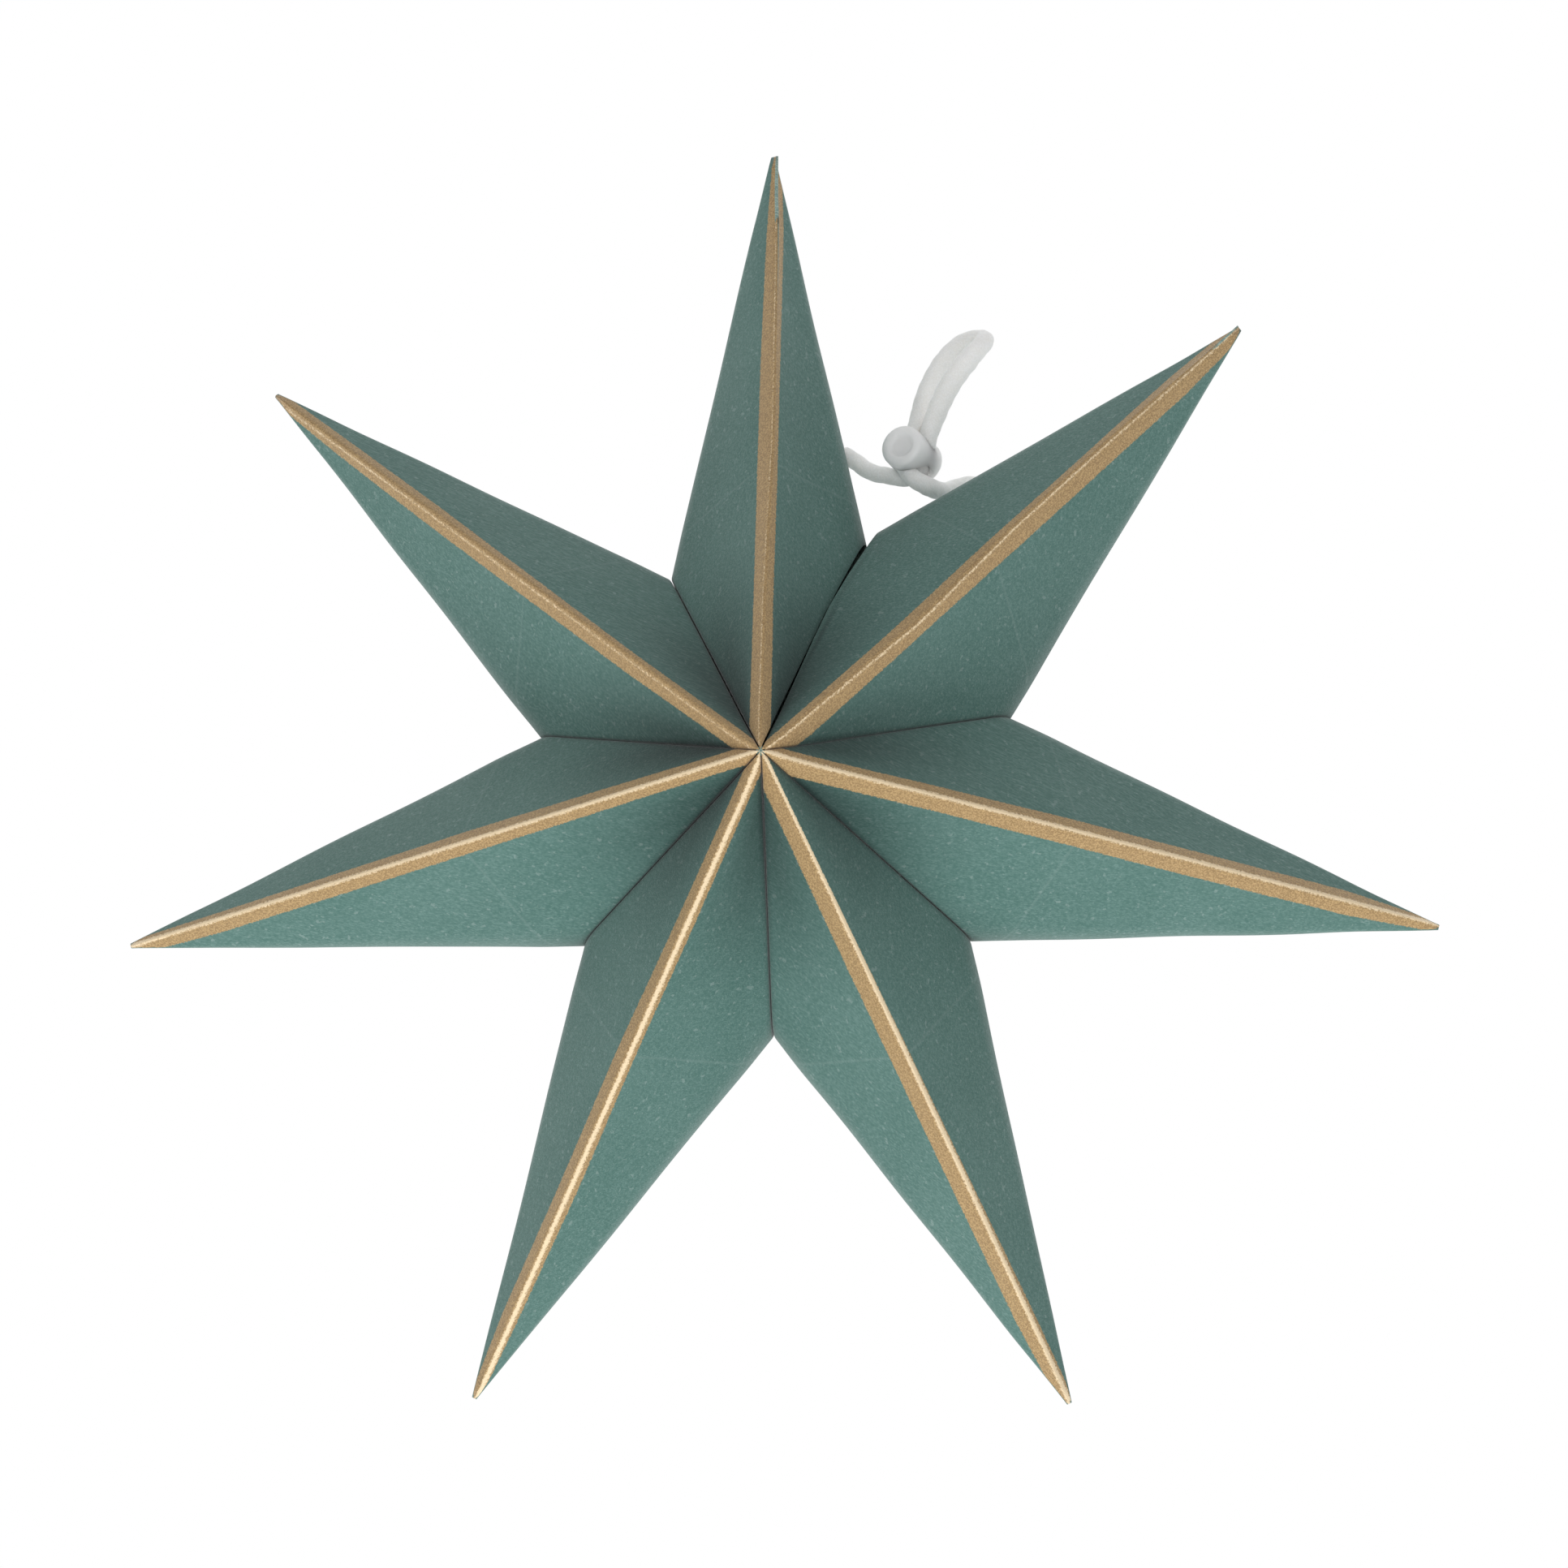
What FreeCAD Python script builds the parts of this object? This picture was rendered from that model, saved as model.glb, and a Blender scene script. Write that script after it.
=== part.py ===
import FreeCAD, Part
import math
import os

from FreeCAD import Placement, Rotation, Vector

# Seven-pointed folded paper star, hung by a short loop of cord. Millimetres.
# The origin is where a hook carries the loop, +Z is up, and the front faces -Y.
# Points are numbered clockwise, seen from the front, from the closure at the top,
# where the first and the last point meet unglued and the cord draws them together.

document = FreeCAD.newDocument("paper_star")
sheet = document.addObject("Spreadsheet::Sheet", "sizes")

POINT_COUNT = 7
SIZES = {
    # the folded star: angles are degrees clockwise from straight up, seen from the front
    "hang_drop": 57.9,
    "tip_reach": 76.0,
    "tip_blunt": 1.2,
    "half_depth": 26.0,
    "seam_reach": 27.85,
    "wall_bend": 6.0,
    "paper_thick": 0.3,
    "glue_film": 0.1,
    "glue_flap": 4.0,
    "tip_angle_1": 21.1,
    "tip_angle_2": 78.6,
    "tip_angle_3": 131.1,
    "tip_angle_4": 182.7,
    "tip_angle_5": 233.5,
    "tip_angle_6": 285.6,
    "tip_angle_7": 335.9,
    "seam_angle_1": 49.0,
    "seam_angle_2": 104.4,
    "seam_angle_3": 157.1,
    "seam_angle_4": 207.9,
    "seam_angle_5": 260.0,
    "seam_angle_6": 310.2,
    # the two free walls at the closure
    "closure_angle_1": -2.4,
    "closure_angle_7": -3.9,
    "closure_reach_1": 32.5,
    "closure_reach_7": 30.6,
    "hole_width": 3.85,
    # a cord hole: how far from the sharp tip, and how far round the bend towards the back
    "hole_reach_1": 35.2,
    "hole_reach_7": 36.8,
    "hole_turn_1": 52.0,
    "hole_turn_7": 30.0,
    # the cord and its knots
    "cord_width": 2.0,
    "knot_width": 4.4,
    "knot_flat": 1.96,
    "knot_setback": 1.87,
    "knot_tail": 2.5,
    "tail_lean": 140.0,
    # the moulded stopper on the cord
    "stopper_front_width": 5.0,
    "stopper_back_width": 5.4,
    "stopper_front": 3.5,
    "stopper_back": 2.6,
    "stopper_edge": 0.35,
    "bore_width": 4.36,
    "dish_width": 3.1,
    "dish_floor_width": 2.3,
    "dish_deep": 0.45,
}
for row, (alias, value) in enumerate(SIZES.items(), start=1):
    sheet.set(f"A{row}", alias)
    sheet.set(f"B{row}", str(value))
    sheet.setAlias(f"B{row}", alias)
document.recompute()


def size(alias):
    """A driving dimension, read back from the spreadsheet."""
    return float(sheet.get(alias))


def heading(angle):
    """The unit direction in the star's plane at that clock angle."""
    return Vector(math.sin(math.radians(angle)), 0, math.cos(math.radians(angle)))


def crossing(point_a, along_a, point_b, along_b):
    """Where two lines in the star's plane cross."""
    between = point_b - point_a
    across = along_a.x * along_b.z - along_a.z * along_b.x
    return point_a + along_a * ((between.x * along_b.z - between.z * along_b.x) / across)


star_centre = Placement(Vector(0, 0, -size("hang_drop")), Rotation())

# The cord's bends between its two knots, measured from the star's centre: out of the last
# point, under the stopper and up through it, round the loop, back down through it and
# behind the first point's edge.
CORD_BENDS = [
    (-7.76, 2.96, 40.53), (-6.49, 2.97, 40.25), (-5.27, 2.42, 39.44), (-3.42, 1.72, 39.34),
    (-1.59, 1.25, 39.35), (-0.49, 0.9, 40.09), (0.08, 0.52, 41.42), (-0.31, -0.17, 43.4),
    (-0.77, -0.48, 45.19), (-1.14, -0.92, 46.84), (-0.97, -1.5, 49.66), (-0.7, -1.9, 52.38),
    (0.18, -2.25, 55.37), (0.44, -1.38, 57.1), (0.15, -0.27, 57.92), (-0.54, 0.81, 58.12),
    (-1.55, 1.75, 57.69), (-3, 2.31, 56.02), (-3.57, 1.9, 52.61), (-3.42, 1.4, 49.44),
    (-2.67, 0.91, 45.79), (-2.47, 0.31, 43.43), (-2.21, -0.52, 41.55), (-1.38, -1.18, 40.23),
    (-0.02, -1.27, 39.58), (1.45, -0.47, 39.36), (2.56, 1.65, 39.97), (2.61, 3.18, 41.43),
    (3.39, 3.9, 42.42), (4.41, 4.12, 42.99), (5.63, 3.95, 43.21),
]

# The stopper: its middle, the way it points from back to front, and the way of its bore.
STOPPER_MIDDLE = Vector(-1.255, 0, 42.641)
STOPPER_AXIS = Vector(-0.361, -0.932, -0.022)
STOPPER_BORE = Vector(-0.175, 0.044, 0.984)


def add_feature(name, shape, placement):
    """A named sub-part whose shape is worked out here, placed after its shape is set."""
    feature = document.addObject("Part::Feature", name)
    feature.Label = name
    feature.Shape = shape
    feature.Placement = placement
    return feature


class Side:
    """One wall of a paper point, from its two ridges round to the seam with its neighbour."""

    def __init__(self, angle, turn, reach, hole_reach=0.0, hole_turn=0.0):
        # turn is +1 where the point lies clockwise of the seam, -1 where it lies the other way
        self.along = heading(angle)
        self.inward = heading(angle + turn * 90)
        self.reach = reach
        self.hole_reach = hole_reach
        self.hole_turn = math.radians(hole_turn)
        self.glued = hole_reach == 0

    def foot(self, inset):
        """A point of the seam plane moved towards the inside of the paper point."""
        return self.inward * (size("glue_film") / 2 + inset)


def rounded_wire(side, start, depth, corner, bend):
    """The closed outline in a seam plane: a straight line from the front apex, a round
    bend at the silhouette, a straight line to the back apex, and the star's axis."""
    front = start + Vector(0, -depth, 0)
    back = start + Vector(0, depth, 0)
    slope = (corner - front).normalize()
    half_angle = math.atan2(depth, (corner - start).Length)
    tangent_length = bend / math.tan(half_angle)
    bend_front = corner - slope * tangent_length
    bend_back = Vector(bend_front.x, -bend_front.y, bend_front.z)
    bend_top = corner - side.along * (bend / math.sin(half_angle) - bend)
    return Part.Wire([
        Part.LineSegment(front, bend_front).toShape(),
        Part.Arc(bend_front, bend_top, bend_back).toShape(),
        Part.LineSegment(bend_back, back).toShape(),
        Part.LineSegment(back, front).toShape(),
    ])


def sharp_corner(side, start, depth, bend):
    """Where the straight parts of the outline would meet if the bend were sharp, so that
    the bend itself reaches out to the seam's reach."""
    reach = side.reach - start.dot(side.along)
    spare = bend - reach
    quad = 1 - (bend / depth) ** 2
    distance = (-spare + math.sqrt(spare ** 2 - quad * (spare ** 2 - bend ** 2))) / quad
    return start + side.along * distance


class PaperPoint:
    """One hollow point: two walls joined at a front and a back ridge, and a glue flap
    turned in along each glued seam."""

    def __init__(self, tip_angle, left, right):
        self.tip_angle = tip_angle
        self.left = left
        self.right = right
        self.tip = heading(tip_angle) * (size("tip_reach") + size("tip_blunt"))
        self.depth = size("half_depth")
        self.bend = size("wall_bend")
        self.start = crossing(left.foot(0), left.along, right.foot(0), right.along)
        for side in (left, right):
            side.corner = sharp_corner(side, self.start, self.depth, self.bend)
            side.normal = self.wall_normal(side)

    def wall_normal(self, side):
        """The outward normal of a wall's flat front half."""
        front = self.start + Vector(0, -self.depth, 0)
        normal = (front - self.tip).cross(side.corner - self.tip).normalize()
        return normal if normal.dot(side.inward) < 0 else normal * -1

    def half(self, side, start, depth, corner, bend, tip):
        """The solid between one wall, its seam plane and the plane of the two ridges."""
        wire = rounded_wire(side, start, depth, corner, bend)
        return Part.makeLoft([wire, Part.Vertex(tip)], True, True)

    def outer(self):
        """The whole point as if it were solid."""
        halves = [
            self.half(side, self.start, self.depth, side.corner, self.bend, self.tip)
            for side in (self.left, self.right)
        ]
        return halves[0].fuse(halves[1]).removeSplitter()

    def inner(self):
        """The hollow inside the paper, open at a free seam."""
        paper = size("paper_thick")
        insets = {side: paper if side.glued else -paper for side in (self.left, self.right)}
        lines = {}
        for side in (self.left, self.right):
            flat = Vector(side.normal.x, 0, side.normal.z)
            lines[side] = (self.tip - flat * (paper / flat.Length ** 2),
                           side.corner - self.tip)
        tip = crossing(*lines[self.left], *lines[self.right])
        start = crossing(self.left.foot(insets[self.left]), self.left.along,
                         self.right.foot(insets[self.right]), self.right.along)
        depth = min(
            (side.normal.dot(self.tip - start) - paper) / -side.normal.y
            for side in (self.left, self.right)
        )
        halves = []
        for side in (self.left, self.right):
            corner = crossing(*lines[side], side.foot(insets[side]), side.along)
            across = side.normal.dot(side.inward)
            bend = self.bend - paper / math.sqrt(1 - across ** 2)
            halves.append(self.half(side, start, depth, corner, bend, tip))
        return halves[0].fuse(halves[1]).removeSplitter()

    def window(self, side):
        """The gap between the two glue flaps of a seam, past the star's axis."""
        slope_angle = math.atan2(self.depth, (side.corner - self.start).Length)
        shift = size("glue_flap") + size("paper_thick")
        tip_corner = side.corner - side.along * (shift / math.sin(slope_angle))
        past_axis = side.corner - side.along * ((side.corner - self.start).Length + shift)
        rise = (tip_corner - past_axis).Length * math.tan(slope_angle)
        below = side.inward * -size("paper_thick")
        corners = [tip_corner + below, past_axis + below + Vector(0, -rise, 0),
                   past_axis + below + Vector(0, rise, 0)]
        face = Part.Face(Part.makePolygon(corners + corners[:1]))
        return face.extrude(side.inward * (3 * size("paper_thick")))

    def hole(self, side):
        """The punched cord hole in a free wall, in the bend just behind the silhouette."""
        half_angle = math.atan2(self.depth, (side.corner - self.start).Length)
        bend_centre = side.corner - side.along * (self.bend / math.sin(half_angle))
        backward = Vector(0, 1, 0)
        spoke = side.along * math.cos(side.hole_turn) + backward * math.sin(side.hole_turn)
        rim = bend_centre + spoke * self.bend
        ruling = (rim - self.tip).normalize()
        around = backward * math.cos(side.hole_turn) - side.along * math.sin(side.hole_turn)
        outward = ruling.cross(around).normalize()
        if outward.dot(side.inward) > 0:
            outward = outward * -1
        side.hole_middle = self.tip + ruling * side.hole_reach
        side.hole_outward = outward
        depth = size("hole_width")
        return Part.makeCylinder(size("hole_width") / 2, 2 * depth,
                                 side.hole_middle - outward * depth, outward)

    def blunt_end(self):
        """The block that takes the last sharp sliver off the tip."""
        along = heading(self.tip_angle)
        width = size("tip_reach")
        block = Part.makeBox(width, width, width, Vector(-width / 2, -width / 2, 0))
        turn = Rotation(Vector(0, 0, 1), along)
        block.Placement = Placement(along * size("tip_reach"), turn)
        return block

    def shape(self):
        """The folded sheet of this point."""
        sheet_shape = self.outer().cut(self.inner()).cut(self.blunt_end())
        for side in (self.left, self.right):
            cutter = self.window(side) if side.glued else self.hole(side)
            sheet_shape = sheet_shape.cut(cutter)
        return sheet_shape.removeSplitter()


def build_points():
    """The seven paper points, clockwise from the closure."""
    points = []
    for number in range(1, POINT_COUNT + 1):
        if number == 1:
            left = Side(size("closure_angle_1"), 1, size("closure_reach_1"),
                        size("hole_reach_1"), size("hole_turn_1"))
        else:
            left = Side(size(f"seam_angle_{number - 1}"), 1, size("seam_reach"))
        if number == POINT_COUNT:
            right = Side(size("closure_angle_7"), -1, size("closure_reach_7"),
                         size("hole_reach_7"), size("hole_turn_7"))
        else:
            right = Side(size(f"seam_angle_{number}"), -1, size("seam_reach"))
        point = PaperPoint(size(f"tip_angle_{number}"), left, right)
        add_feature(f"point_{number}", point.shape().Solids[0], star_centre)
        points.append(point)
    return points


def run_arc_wire(stations):
    """A path of straight runs joined by tangent arcs, its arc radii and its whole length."""
    share = 0.45
    edges = []
    radii = []
    last = stations[0]
    for before, corner, after in zip(stations, stations[1:], stations[2:]):
        run_in = corner - before
        run_out = after - corner
        setback = share * min(run_in.Length, run_out.Length)
        turn = run_in.getAngle(run_out)
        radii.append(setback / math.tan(turn / 2))
        arc_start = corner - run_in.normalize() * setback
        arc_end = corner + run_out.normalize() * setback
        inward = (arc_end - corner + arc_start - corner).normalize()
        arc_middle = corner + inward * (radii[-1] / math.cos(turn / 2) - radii[-1])
        edges.append(Part.LineSegment(last, arc_start).toShape())
        edges.append(Part.Arc(arc_start, arc_middle, arc_end).toShape())
        last = arc_end
    edges.append(Part.LineSegment(last, stations[-1]).toShape())
    path = Part.Wire(edges)
    return path, radii, path.Length


def knot_centre(side):
    """Where a knot sits inside the paper, pulled up against the rim of its hole."""
    return side.hole_middle - side.hole_outward * size("knot_setback")


def knot_exit(centre, first_bend):
    """The middle of the flat on a knot, where the cord leaves it towards its first bend."""
    return centre + (first_bend - centre).normalize() * size("knot_flat")


def bind(item, **expressions):
    """Ties properties of a document object to sizes in the sheet."""
    for name, expression in expressions.items():
        item.setExpression(name, expression)


def add_knot(name, centre, first_bend):
    """A tied knot with a flat where the cord leaves it and a short cut tail."""
    ball = document.addObject("Part::Sphere", f"{name}_ball")
    bind(ball, Radius="sizes.knot_width / 2", Angle2="asin(2 * sizes.knot_flat / sizes.knot_width)")
    tail = document.addObject("Part::Cylinder", f"{name}_tail")
    bind(tail, Radius="sizes.cord_width / 2", Height="sizes.knot_width / 2 + sizes.knot_tail")
    tail.Placement = Placement(Vector(), Rotation(Vector(1, 0, 0), size("tail_lean")))
    knot = document.addObject("Part::Fuse", name)
    knot.Label = name
    knot.Base = ball
    knot.Tool = tail
    turn = Rotation(Vector(0, 0, 1), first_bend - centre)
    knot.Placement = star_centre.multiply(Placement(centre, turn))
    return knot


def is_barrel_rim(edge):
    """Whether an edge of the stopper is one of the two outer end rims."""
    widths = (size("stopper_front_width"), size("stopper_back_width"))
    ring = isinstance(edge.Curve, Part.Circle)
    return ring and any(math.isclose(2 * edge.Curve.Radius, width) for width in widths)


def add_stopper():
    """The barrel that both strands pass through, with a shallow dish in its front end."""
    barrel = document.addObject("Part::Cone", "stopper_barrel")
    bind(barrel, Radius1="sizes.stopper_back_width / 2", Radius2="sizes.stopper_front_width / 2",
         Height="sizes.stopper_front + sizes.stopper_back")
    barrel.Placement = Placement(Vector(0, 0, -size("stopper_back")), Rotation())
    dish = document.addObject("Part::Cone", "stopper_dish")
    bind(dish, Radius1="sizes.dish_floor_width / 2", Radius2="sizes.dish_width / 2",
         Height="sizes.dish_deep")
    dish.Placement = Placement(Vector(0, 0, size("stopper_front") - size("dish_deep")), Rotation())
    bore = document.addObject("Part::Cylinder", "stopper_bore")
    bind(bore, Radius="sizes.bore_width / 2", Height="2 * sizes.stopper_back_width")
    across = Rotation(Vector(1, 0, 0), 90)
    bore.Placement = Placement(Vector(0, size("stopper_back_width"), 0), across)
    tools = document.addObject("Part::MultiFuse", "stopper_tools")
    tools.Shapes = [dish, bore]
    hollowed = document.addObject("Part::Cut", "stopper_hollowed")
    hollowed.Base = barrel
    hollowed.Tool = tools
    document.recompute()
    rims = [
        (number, size("stopper_edge"), size("stopper_edge"))
        for number, edge in enumerate(hollowed.Shape.Edges, start=1)
        if is_barrel_rim(edge)
    ]
    stopper = document.addObject("Part::Fillet", "cord_stopper")
    stopper.Label = "cord_stopper"
    stopper.Base = hollowed
    stopper.Edges = rims
    turn = Rotation(STOPPER_BORE.cross(STOPPER_AXIS), STOPPER_BORE, STOPPER_AXIS, "ZYX")
    stopper.Placement = star_centre.multiply(Placement(STOPPER_MIDDLE, turn))
    return stopper


def add_cord(knot_start, knot_end):
    """The cord as one round tube from knot to knot."""
    bends = [Vector(*bend) for bend in CORD_BENDS]
    stations = [knot_exit(knot_start, bends[0])] + bends + [knot_exit(knot_end, bends[-1])]
    path, radii, length = run_arc_wire(stations)
    profile = Part.Wire(Part.Circle(stations[0], stations[1] - stations[0],
                                    size("cord_width") / 2).toShape())
    tube = path.makePipeShell([profile], True, False)
    expected = math.pi * size("cord_width") ** 2 / 4 * length
    print("cord bend radii", [round(radius, 2) for radius in radii])
    print("cord length", round(length, 2), "volume", round(tube.Volume, 2), "of", round(expected, 2))
    if not math.isclose(tube.Volume, expected, rel_tol=0.01):
        raise RuntimeError("the cord's tube is not section times length")
    return add_feature("cord", tube, star_centre)


points = build_points()
pieces = [document.getObject(f"point_{number}") for number in range(1, POINT_COUNT + 1)]
knot_start = knot_centre(points[-1].right)
knot_end = knot_centre(points[0].left)
pieces.append(add_cord(knot_start, knot_end))
pieces.append(add_knot("knot_in_point_7", knot_start, Vector(*CORD_BENDS[0])))
pieces.append(add_knot("knot_in_point_1", knot_end, Vector(*CORD_BENDS[-1])))
pieces.append(add_stopper())
document.recompute()

for item in document.Objects:
    bad = [state for state in item.State if state in ("Invalid", "Error")]
    if bad:
        raise RuntimeError(f"{item.Name}: {bad}")

os.makedirs("parts", exist_ok=True)
for item in pieces:
    if item.Shape.isNull() or not item.Shape.isValid():
        raise RuntimeError(f"{item.Label}: shape is null or not valid")
    if len(item.Shape.Solids) != 1:
        raise RuntimeError(f"{item.Label}: {len(item.Shape.Solids)} solids")
    item.Shape.exportStep(f"parts/{item.Label}.step")
    print(item.Label, round(item.Shape.Volume, 1), "mm3", len(item.Shape.Faces), "faces")
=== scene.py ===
"""A hollow folded paper star on a short cord loop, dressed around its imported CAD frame.

Metres, +Z up, the front faces -Y and the star hangs from the top of its loop at the origin.
Shapes are worked out in millimetres, measured from the star's centre, and then placed.
"""

import logging
import math
from dataclasses import dataclass
from enum import Enum

import bmesh
import bpy
import numpy as np
from bpy.types import Material, Mesh, Node, NodeSocket, NodeTree, Object
from mathutils import Matrix, Vector


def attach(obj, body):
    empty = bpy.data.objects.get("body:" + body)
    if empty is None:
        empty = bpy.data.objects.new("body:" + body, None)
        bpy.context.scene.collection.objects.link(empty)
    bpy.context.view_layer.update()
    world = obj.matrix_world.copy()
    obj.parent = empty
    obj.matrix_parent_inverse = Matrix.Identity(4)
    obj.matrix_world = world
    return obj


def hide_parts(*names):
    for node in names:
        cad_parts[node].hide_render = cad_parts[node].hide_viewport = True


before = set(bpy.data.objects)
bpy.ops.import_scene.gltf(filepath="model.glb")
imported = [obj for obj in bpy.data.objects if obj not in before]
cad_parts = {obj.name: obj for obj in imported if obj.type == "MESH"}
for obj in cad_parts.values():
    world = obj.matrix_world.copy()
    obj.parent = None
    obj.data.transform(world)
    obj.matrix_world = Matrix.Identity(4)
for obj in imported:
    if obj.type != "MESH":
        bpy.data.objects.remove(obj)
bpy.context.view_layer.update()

MM = 0.001
LOG = logging.getLogger("paper_star")
BACKWARDS = np.array([0.0, 1.0, 0.0])
Triple = tuple[float, float, float]
Array = np.ndarray
Value = float | NodeSocket


class Slot(Enum):
    """The record's material slots."""

    CARD = "card"
    CORD = "cord"
    STOPPER = "stopper"


@dataclass(frozen=True)
class StarSizes:
    """Sizes of the whole star, in millimetres."""

    hang_drop: float = 57.9
    tip_reach: float = 76.0
    tip_blunt: float = 1.2
    half_depth: float = 26.0
    seam_reach: float = 27.85
    wall_bend: float = 6.0
    paper_thick: float = 0.3
    glue_film: float = 0.1
    glue_flap: float = 4.0
    hole_width: float = 3.85

    @property
    def sharp_reach(self) -> float:
        """How far the tips would reach if they were sharp."""
        return self.tip_reach + self.tip_blunt


SIZES = StarSizes()


def heading(angle: float) -> Array:
    """The unit direction at a clock angle in the star's plane.

    Args:
        angle: degrees clockwise from straight up, seen from the front.

    Returns:
        A unit vector with no depth.
    """
    turn = math.radians(angle)
    return np.array([math.sin(turn), 0.0, math.cos(turn)])


def held(values: Array) -> Array:
    """Numbers held between 0 and 1."""
    return np.clip(values, 0, 1)


def unit(vectors: Array) -> Array:
    """Vectors divided by their own length, along the last axis."""
    length = np.linalg.norm(vectors, axis=-1, keepdims=True)
    return vectors / np.maximum(length, 1e-12)


def circle(aside: Array, other: Array, sides: int) -> Array:
    """Unit directions all round, evenly spaced, that start from aside towards other."""
    turn = np.linspace(0, 2 * math.pi, sides, endpoint=False)
    return np.cos(turn)[:, None] * aside + np.sin(turn)[:, None] * other


def to_place(points: Array) -> Array:
    """Millimetres from the star's centre, turned into metres in the row's frame."""
    return (points + np.array([0.0, 0.0, -SIZES.hang_drop])) * MM


def grid_faces(rows: int, columns: int, closed: bool) -> list[list[int]]:
    """Quads over a grid of vertices that is stored row after row.

    Args:
        rows: the number of rows of vertices.
        columns: the number of vertices in a row.
        closed: whether each row is a ring.

    Returns:
        Vertex numbers, four to a face.
    """
    index = np.arange(rows * columns).reshape(rows, columns)
    if closed:
        index = np.concatenate([index, index[:, :1]], axis=1)
    corners = (index[:-1, :-1], index[:-1, 1:], index[1:, 1:], index[1:, :-1])
    return np.stack(corners, axis=-1).reshape(-1, 4).tolist()


def fan_faces(ring: Array, centre: int) -> list[list[int]]:
    """Triangles between a closed ring of vertices and one vertex in its middle."""
    return np.stack([ring, np.roll(ring, -1), np.full(len(ring), centre)], axis=-1).tolist()


def add_object(name: str, data: bpy.types.ID) -> Object:
    """Links a new object that holds the data to the scene."""
    piece = bpy.data.objects.new(name, data)
    bpy.context.scene.collection.objects.link(piece)
    return piece


def make_mesh(name: str, points: Array, faces: list[list[int]]) -> Object:
    """A smooth-shaded mesh object, linked to the scene.

    Args:
        name: the object's name.
        points: vertex places in metres, one row each.
        faces: vertex numbers, one list to a face.

    Returns:
        The new object at the origin.
    """
    mesh = bpy.data.meshes.new(name)
    mesh.from_pydata(points.tolist(), [], faces)
    mesh.polygons.foreach_set("use_smooth", np.ones(len(mesh.polygons), bool))
    mesh.update()
    return add_object(name, mesh)


def read_places(mesh: Mesh) -> Array:
    """The places of a mesh's vertices, in metres, one row each."""
    places = np.zeros(len(mesh.vertices) * 3, np.float32)
    mesh.vertices.foreach_get("co", places)
    return places.reshape(-1, 3).astype(float)


def set_values(mesh: Mesh, name: str, values: Array) -> None:
    """Stores one number for each vertex under a name that a material can read."""
    attribute = mesh.attributes.new(name, "FLOAT", "POINT")
    attribute.data.foreach_set("value", values.astype(np.float32))


def final_mesh(piece: Object) -> Mesh:
    """What an object's curve or modifiers make, as a mesh."""
    graph = bpy.context.evaluated_depsgraph_get()
    return bpy.data.meshes.new_from_object(piece.evaluated_get(graph))


def apply_modifiers(piece: Object) -> None:
    """Replaces the mesh of a piece by what its modifiers make of it."""
    result = final_mesh(piece)
    piece.modifiers.clear()
    piece.data = result


def clean_mesh(mesh: Mesh, merge: float) -> None:
    """Merges doubled vertices and turns the faces outwards."""
    work = bmesh.new()
    work.from_mesh(mesh)
    bmesh.ops.remove_doubles(work, verts=work.verts, dist=merge)
    bmesh.ops.recalc_face_normals(work, faces=work.faces)
    work.to_mesh(mesh)
    work.free()


def face_away(mesh: Mesh, inside: Array) -> None:
    """Turns an open sheet's faces so that most of them look away from a place inside it."""
    count = len(mesh.polygons)
    centres, normals, areas = np.zeros(count * 3), np.zeros(count * 3), np.zeros(count)
    mesh.polygons.foreach_get("center", centres)
    mesh.polygons.foreach_get("normal", normals)
    mesh.polygons.foreach_get("area", areas)
    outward = ((centres.reshape(-1, 3) - inside) * normals.reshape(-1, 3)).sum(axis=1)
    if outward @ areas < 0:
        mesh.flip_normals()


def cut_with(piece: Object, tool: Object) -> None:
    """Takes a closed tool's shape out of a piece and removes the tool."""
    cut = piece.modifiers.new("cut", "BOOLEAN")
    cut.operation = "DIFFERENCE"
    cut.solver = "EXACT"
    cut.object = tool
    apply_modifiers(piece)
    bpy.data.objects.remove(tool)


def make_rod(name: str, start: Array, along: Array, radius: float) -> Object:
    """A closed round rod for cutting.

    It is a ring of points round the axis, carried along it, with a point at each end.

    Args:
        name: the object's name.
        start: the middle of its first end, in millimetres from the star's centre.
        along: the vector from its first to its second end.
        radius: its radius in millimetres.

    Returns:
        The rod.
    """
    sides = 48
    axis = unit(along)
    aside = unit(np.cross(axis, np.array([0.3, 0.5, 0.8])))
    other = np.cross(axis, aside)
    ring = radius * circle(aside, other, sides)
    rings = np.stack([ring * 0, ring, ring + along, ring * 0 + along])
    rod = make_mesh(name, to_place(start + rings.reshape(-1, 3)), grid_faces(4, sides, True))
    clean_mesh(rod.data, 1e-7)
    return rod


@dataclass(frozen=True)
class Seam:
    """One side of a paper point: the plane where it meets its neighbour."""

    angle: float
    turn: int
    reach: float = SIZES.seam_reach
    glued: bool = True
    sway: float = 0.0
    # How strongly the painted shade darkens this wall's valley, set wall by wall.
    painted_shade_scale: float = 1.0

    @property
    def along(self) -> Array:
        """The direction from the star's centre out along the seam."""
        return heading(self.angle)

    @property
    def foot(self) -> Array:
        """A point of the wall's edge plane, half a glue film inside the seam."""
        return heading(self.angle + self.turn * 90) * SIZES.glue_film / 2


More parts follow.
